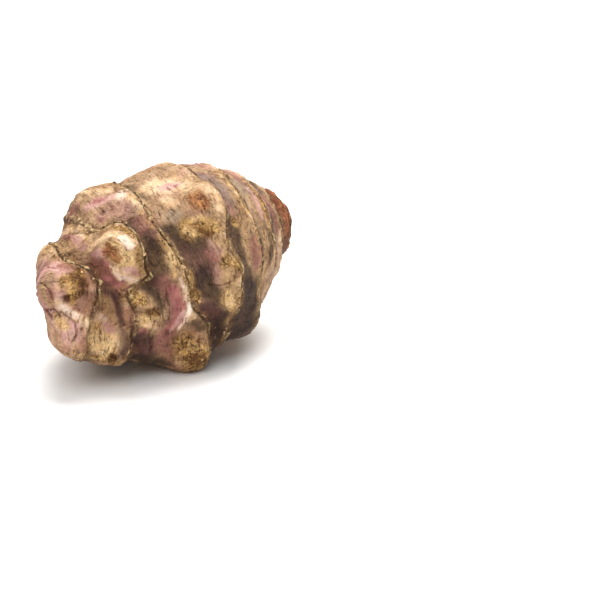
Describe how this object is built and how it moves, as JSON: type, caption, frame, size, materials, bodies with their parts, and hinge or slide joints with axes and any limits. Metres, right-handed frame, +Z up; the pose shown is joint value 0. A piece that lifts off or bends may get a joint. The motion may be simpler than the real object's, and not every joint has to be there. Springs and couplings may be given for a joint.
{
  "type": "jerusalem artichoke",
  "caption": "Whole knobbly Jerusalem artichoke tuber with ringed leaf scars, corky bud knobs and pink, cream and tan skin, lying on its side.",
  "frame": {"origin": "on the resting surface, under the middle of the tuber", "axes": "+Z up, X along the tuber from its bud end at -X to its stem end at +X, -Y towards its front"},
  "size_m": [0.0882, 0.0577, 0.0568],
  "materials": {
    "skin": "satin natural tuber skin, cream and mauve with golden corky patches"
  },
  "bodies": {
    "root": {"tuber": "skin"}
  },
  "joints": []
}
